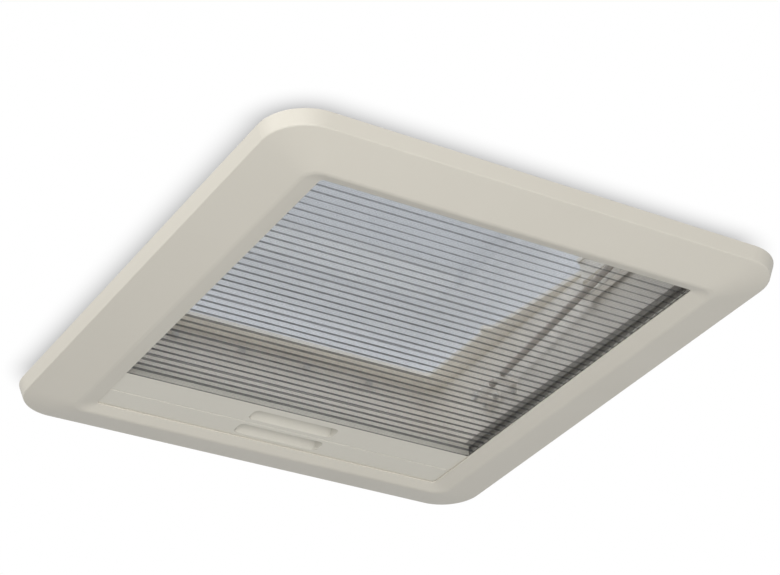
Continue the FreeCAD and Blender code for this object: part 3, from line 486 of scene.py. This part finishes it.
trimLook = {
    "colour": (211, 206, 194), "shade": (196, 190, 177), "worn": (222, 218, 208),
    "grain": 1500.0, "mottle": 0.18, "roughness": 0.52, "ior": 1.45,
    "markScale": 150.0, "marks": 0.10, "bump": 0.00006,
}
shaftLook = {
    "colour": (224, 219, 211), "shade": (206, 201, 192), "worn": (230, 226, 219),
    "grain": 1300.0, "mottle": 0.25, "roughness": 0.5, "ior": 1.45,
    # daylight: a painted glow, on faces that look down
    "markScale": 120.0, "marks": 0.12, "bump": 0.00006, "daylight": 0.22, "sideways": 0.0,
}
domeFrameLook = {
    "colour": (222, 218, 210), "shade": (204, 200, 191), "worn": (230, 227, 219),
    "grain": 1300.0, "mottle": 0.2, "roughness": 0.45, "ior": 1.45,
    # daylight: a painted glow, on faces that look down and, by the sideways share, a little on side faces
    "markScale": 120.0, "marks": 0.10, "bump": 0.00005, "daylight": 0.2, "sideways": 0.1,
}
railLook = {
    "colour": (215, 211, 199), "shade": (201, 196, 184), "worn": (226, 222, 212),
    "grain": 1600.0, "mottle": 0.15, "roughness": 0.48, "ior": 1.46,
    "markScale": 170.0, "marks": 0.15, "bump": 0.00005,
    # Painted shade in the finger scoops and corners
    "hollow": 1.0, "hollowReach": 0.02, "hollowSamples": 8, "deep": (100, 96, 86),
}
guideLook = {
    "colour": (140, 136, 128), "shade": (122, 118, 110), "worn": (158, 154, 146),
    "grain": 1500.0, "mottle": 0.3, "roughness": 0.6, "ior": 1.45,
    "markScale": 150.0, "marks": 0.15, "bump": 0.00006,
}
sealLook = {
    "colour": (206, 202, 193), "shade": (190, 186, 177), "worn": (214, 210, 202),
    "grain": 1900.0, "mottle": 0.4, "roughness": 0.78, "ior": 1.45,
    # daylight: a painted glow, on faces that look down and, by the sideways share, on side faces too
    "markScale": 90.0, "marks": 0.2, "bump": 0.00008, "daylight": 0.2, "sideways": 0.9,
}
fittingLook = {
    "colour": (116, 112, 106), "shade": (98, 95, 90), "worn": (136, 131, 124),
    "grain": 1500.0, "mottle": 0.3, "roughness": 0.5, "ior": 1.46,
    "markScale": 170.0, "marks": 0.2, "bump": 0.00006,
}
steelLook = {
    "colour": (212, 210, 205), "dull": (172, 169, 164), "along": (1.0, 0.05, 0.3), "roughness": 0.3,
    "metal": 0.15, "bump": 0.00002,
}
tubeLook = {
    "colour": (198, 191, 182), "dull": (168, 161, 152), "along": (0.04, 1.0, 1.0), "roughness": 0.4,
    "metal": 0.5, "bump": 0.00002,
}
acrylicLook = {
    "colour": (248, 249, 251), "roughness": 0.0, "ior": 1.49, "shadowTint": (0.94, 0.95, 0.96, 1),
    "markScale": 60.0, "marks": 0.01,
}
hazeLook = {
    "colour": (243, 246, 250), "roughness": 0.5, "ior": 1.49, "shadowTint": (0.94, 0.95, 0.96, 1),
    "markScale": 60.0, "marks": 0.02,
}
netLook = {
    "colour": (34, 34, 33), "pitch": 0.0013, "threadShare": 0.24, "thin": 0.2, "dense": 0.5,
    "roughness": 0.75, "sheen": 0.1, "bump": 0.0001, "crease": 1.1, "creaseWidth": 0.0015,
}
blindLook = {
    "colour": (206, 203, 194), "shade": (178, 174, 164), "pitch": 0.0007,
    "roughness": 0.8, "sheen": 0.2, "bump": 0.0001,
}
cordLook = {
    "colour": (190, 188, 180), "shade": (120, 118, 112), "pitch": 0.0009,
    "roughness": 0.8, "sheen": 0.2, "bump": 0.0001,
}

finishes = {
    "trim_plastic": plasticMaterial("trimPlastic", trimLook),
    "roof_frame_plastic": plasticMaterial("shaftPlastic", shaftLook),
    "dome_frame_plastic": plasticMaterial("domeFramePlastic", domeFrameLook),
    "blind_rail_plastic": plasticMaterial("railPlastic", railLook),
    "guide_plastic": plasticMaterial("guidePlastic", guideLook),
    "fitting_plastic": plasticMaterial("fittingPlastic", fittingLook),
    "seal_rubber": plasticMaterial("sealRubber", sealLook),
    "steel": metalMaterial("zincSteel", steelLook),
    "bail_tube": metalMaterial("anodisedTube", tubeLook),
    "dome_acrylic": acrylicMaterial("domeAcrylic", acrylicLook),
    "dome_haze_acrylic": acrylicMaterial("domeHaze", hazeLook),
    "net": netMaterial("flyscreenNet", netLook),
    "blackout_cloth": blindMaterial("blackoutCloth", blindLook),
    "cord": blindMaterial("cordBraid", cordLook),
}

slotOf = {entry["node"]: entry["material_slot"] for entry in frame["record"]["subparts"]}
for name, node in nodes.items():
    finish = finishes[slotOf[name]]
    if not node.material_slots:
        node.data.materials.append(finish)
    for s in node.material_slots:
        s.material = finish
print("materials set on", len(nodes), "nodes")


def meshObject(name, vertices, faces, uvs=None):
    mesh = bpy.data.meshes.new(name)
    mesh.from_pydata(vertices, [], faces)
    if uvs is not None:
        layer = mesh.uv_layers.new(name="cloth")
        corners = np.zeros(len(mesh.loops), int)
        mesh.loops.foreach_get("vertex_index", corners)
        layer.data.foreach_set("uv", np.array(uvs, float)[corners].ravel())
    mesh.polygons.foreach_set("use_smooth", [True] * len(mesh.polygons))
    mesh.update()
    piece = bpy.data.objects.new(name, mesh)
    bpy.context.collection.objects.link(piece)
    return piece


# Pleated sheets
pleatSetup = {
    "count": 41,
    "depth": 0.0056,
    "stepsPerFold": 6,
    "tipRounding": 0.03,
    "across": 48,
    "wander": 0.00016,
    "depthWander": 0.00018,
    "endRows": 8,
    "waves": 31,
    "seed": 7,
}


def foldShape(turns, rounding):
    # Triangle wave of height 1 with softened tips
    t = turns % 1.0
    v = 4 * abs(t - 0.5) - 1
    limit = 1 - 4 * rounding / 2
    if abs(v) > limit:
        over = (abs(v) - limit) / (1 - limit)
        v = math.copysign(limit + (1 - limit) * (over - over * over / 2), v)
    return v


def pleatedSheet(name, start, end, halfWidth, middle, climb, setup):
    dice = random.Random(setup["seed"])
    count = setup["count"]
    rows = count * 2 * setup["stepsPerFold"]
    columns = setup["across"]
    edges = 2 * count + 3
    foldShift = [dice.uniform(-1, 1) for _ in range(edges)]
    foldDepth = [dice.uniform(-1, 1) for _ in range(edges)]
    waveFrom = [dice.uniform(0, 2 * math.pi) for _ in range(edges)]
    vertices, uvs, faces = [], [], []
    length = 0.0
    last = None
    for i in range(rows + 1):
        turns = i / rows * count
        fold = turns * 2
        k = int(fold)
        f = fold - k
        shift = foldShift[k] * (1 - f) + foldShift[k + 1] * f
        depth = foldDepth[k] * (1 - f) + foldDepth[k + 1] * f
        phase = waveFrom[k] * (1 - f) + waveFrom[k + 1] * f
        ends = min(1.0, i / setup["endRows"], (rows - i) / setup["endRows"])
        y = start + (end - start) * i / rows
        halfDepth = setup["depth"] / 2 + depth * setup["depthWander"]
        z = middle - foldShape(turns, setup["tipRounding"]) * halfDepth
        z += climb * (1 - i / rows)
        if last is not None:
            length += math.hypot(y - last[0], z - last[1])
        last = (y, z)
        for j in range(columns + 1):
            x = -halfWidth + 2 * halfWidth * j / columns
            edge = math.cos(x / halfWidth * math.pi / 2)
            bow = setup["wander"] * (shift + math.sin(phase + x * setup["waves"])) * edge * ends
            vertices.append((x, y + bow, z))
            uvs.append((x, length))
    across = columns + 1
    for i in range(rows):
        for j in range(columns):
            a = i * across + j
            faces.append((a, a + 1, a + across + 1, a + across))
    return meshObject(name, vertices, faces, uvs), length


def slideTravel(name):
    return [joint["range_m"][1] for joint in frame["joints"] if joint["name"] == name][0]


# Each sheet climbs towards its fixed end, as the floor of its cassette does
netLow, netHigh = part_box("flyscreen")
netThickness = 0.0004
netClimb = netHigh.z - netLow.z - pleatSetup["depth"] - netThickness
netMiddle = netLow.z + (pleatSetup["depth"] + netThickness) / 2
net, netLength = pleatedSheet(
    "flyscreenNet", netLow.y, netHigh.y, netHigh.x, netMiddle, netClimb, pleatSetup,
)
netThreads = finishes["net"].node_tree.nodes["threads"].inputs
netThreads["Fold"].default_value = netLength / (2 * pleatSetup["count"])
netThreads["Length"].default_value = netLength
net.data.materials.append(finishes["net"])
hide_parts("flyscreen")
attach(net, "roof_frame")
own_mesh(net)
print("flyscreen net built, flat length", round(netLength, 3))

# The blackout blind, folded in its cassette. Its folds are spaced so that they open evenly.
blindSetup = dict(pleatSetup, wander=0.0, depth=0.0061, seed=11)
spacingSteps = 4001
packLow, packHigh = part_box("blackout_pleats")
packMiddle = (packLow.z + packHigh.z - netClimb) / 2
blindTravel = slideTravel("blackout_rail_slide")
packLength = packHigh.y - packLow.y
drawnLength = packLength + blindTravel
blind, blindLength = pleatedSheet(
    "blackoutCloth", packHigh.y, packHigh.y - drawnLength, packHigh.x, packMiddle, netClimb, blindSetup,
)
table = np.linspace(0, 1, spacingSteps)
opened = (table * packLength + table * table * (3 - 2 * table) * blindTravel) / drawnLength
points = np.array([v.co for v in blind.data.vertices])
share = (packHigh.y - points[:, 1]) / drawnLength
points[:, 1] = packHigh.y - np.interp(share, opened, table) * packLength
blind.data.vertices.foreach_set("co", points.ravel())
blind.data.update()
blind.data.materials.append(finishes["blackout_cloth"])
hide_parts("blackout_pleats")
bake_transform(blind)
print("blackout blind built, flat length", round(blindLength, 3))


# Ceiling, seen from below only, and floor, seen from above only
stageSetup = {"size": 6.0, "ceilingZ": 0.024, "holeX": 0.2, "holeY": 0.22, "floorZ": -0.0002}
ceilingLook = {"colour": (1.0, 1.0, 1.0, 1), "shadow": 0.42, "spread": 0.03, "corner": 0.042}
floorLook = {"colour": (0.80, 0.80, 0.79, 1), "lift": 0.25}


def onlyFromFront(tree, shaded):
    # Only the camera sees this surface, and only from its front
    clear = tree.nodes.new("ShaderNodeBsdfTransparent")
    paths = tree.nodes.new("ShaderNodeLightPath")
    surface = tree.nodes.new("ShaderNodeNewGeometry")
    hidden = mathNode(
        tree, "MAXIMUM", surface.outputs["Backfacing"],
        mathNode(tree, "SUBTRACT", 1.0, paths.outputs["Is Camera Ray"]),
    )
    mix = tree.nodes.new("ShaderNodeMixShader")
    link(tree, hidden, mix.inputs["Fac"])
    link(tree, shaded, mix.inputs[1])
    link(tree, clear.outputs[0], mix.inputs[2])
    link(tree, mix.outputs[0], tree.nodes["Material Output"].inputs["Surface"])


def floorMaterial(look):
    material, tree, shader = newMaterial("floorPale")
    tree.nodes.remove(shader)
    diffuse = tree.nodes.new("ShaderNodeBsdfDiffuse")
    diffuse.inputs["Color"].default_value = look["colour"]
    glow = tree.nodes.new("ShaderNodeEmission")
    glow.inputs["Strength"].default_value = look["lift"]
    both = tree.nodes.new("ShaderNodeAddShader")
    link(tree, diffuse.outputs[0], both.inputs[0])
    link(tree, glow.outputs[0], both.inputs[1])
    onlyFromFront(tree, both.outputs[0])
    return material


def ceilingMaterial(look, trimLow, trimHigh):
    # White, with the trim's soft shadow along its -X and -Y sides
    material, tree, shader = newMaterial("ceilingWhite")
    tree.nodes.remove(shader)
    place = tree.nodes.new("ShaderNodeNewGeometry").outputs["Position"]
    split = tree.nodes.new("ShaderNodeSeparateXYZ")
    link(tree, place, split.inputs[0])
    squares = []
    for axis, low, high in (("X", trimLow.x, trimHigh.x), ("Y", trimLow.y, trimHigh.y)):
        middle = (low + high - look["spread"]) / 2
        half = (high - low - look["spread"]) / 2 - look["corner"]
        away = mathNode(tree, "ABSOLUTE", mathNode(tree, "SUBTRACT", split.outputs[axis], middle))
        beyond = mathNode(tree, "MAXIMUM", mathNode(tree, "SUBTRACT", away, half), 0.0)
        squares.append(mathNode(tree, "MULTIPLY", beyond, beyond))
    distance = mathNode(tree, "SQRT", mathNode(tree, "ADD", squares[0], squares[1]))
    distance = mathNode(tree, "SUBTRACT", distance, look["corner"])
    share = mathNode(tree, "MAXIMUM", mathNode(tree, "DIVIDE", distance, look["spread"]), 0.0)
    fade = mathNode(tree, "MAXIMUM", mathNode(tree, "SUBTRACT", 1.0, share), 0.0)
    darker = mathNode(tree, "MULTIPLY", mathNode(tree, "MULTIPLY", fade, fade), look["shadow"])
    glow = tree.nodes.new("ShaderNodeEmission")
    glow.inputs["Color"].default_value = look["colour"]
    link(tree, mathNode(tree, "SUBTRACT", 1.0, darker), glow.inputs["Strength"])
    onlyFromFront(tree, glow.outputs[0])
    return material


def addStage(setup):
    s, hx, hy, z = setup["size"], setup["holeX"], setup["holeY"], setup["ceilingZ"]
    outer = [(-s, -s, z), (s, -s, z), (s, s, z), (-s, s, z)]
    inner = [(-hx, -hy, z), (hx, -hy, z), (hx, hy, z), (-hx, hy, z)]
    faces = [(i, i + 4, (i + 1) % 4 + 4, (i + 1) % 4) for i in range(4)]
    ceiling = meshObject("ceiling", outer + inner, faces)
    ceiling.data.materials.append(ceilingMaterial(ceilingLook, *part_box("interior_frame")))
    z = setup["floorZ"]
    floor = meshObject("floor", [(-s, -s, z), (s, -s, z), (s, s, z), (-s, s, z)], [(0, 1, 2, 3)])
    floor.data.materials.append(floorMaterial(floorLook))


addStage(stageSetup)


# Light: a large soft key from below on the -X and -Y sides, weak ones from straight below and from +X, a
# high one for the light that the ceiling throws back at the trim's rim, daylight from above and an even world
lampSetup = {
    "key": {"toward": (-0.54, -0.76, -0.37), "far": 2.6, "size": 1.6, "power": 40},
    "below": {"toward": (-0.09, -0.30, -0.95), "far": 2.6, "size": 1.6, "power": 15.3},
    "side": {"toward": (0.82, -0.48, -0.31), "far": 2.6, "size": 1.2, "power": 6.5},
    "bounce": {"toward": (-0.94, 0.0, 0.34), "far": 2.6, "size": 1.4, "power": 26},
    "sky": {"toward": (-0.08, -0.26, 0.96), "far": 2.8, "size": 2.2, "power": 51},
}
worldSetup = {"colour": (0.965, 0.98, 1.0, 1), "light": 0.32, "sky": 0.93}


def addLamps(setup):
    for name, lamp in setup.items():
        data = bpy.data.lights.new(name, "AREA")
        data.shape = "DISK"
        data.size = lamp["size"]
        data.energy = lamp["power"]
        toward = Vector(lamp["toward"]).normalized()
        holder = bpy.data.objects.new(name, data)
        holder.location = toward * lamp["far"]
        holder.rotation_euler = toward.to_track_quat("Z", "Y").to_euler()
        bpy.context.collection.objects.link(holder)


def addWorld(setup):
    world = bpy.data.worlds.new("daylight")
    bpy.context.scene.world = world
    world.use_nodes = True
    tree = world.node_tree
    background = tree.nodes["Background"]
    paths = tree.nodes.new("ShaderNodeLightPath")
    seen = mathNode(tree, "MAXIMUM", paths.outputs["Is Camera Ray"], paths.outputs["Is Transmission Ray"])
    seen = mathNode(tree, "MAXIMUM", seen, paths.outputs["Is Glossy Ray"])
    strength = mathNode(tree, "MULTIPLY_ADD", seen, setup["sky"] - setup["light"], setup["light"])
    background.inputs["Color"].default_value = setup["colour"]
    link(tree, strength, background.inputs["Strength"])


addLamps(lampSetup)
addWorld(worldSetup)
print("stage and lamps set")
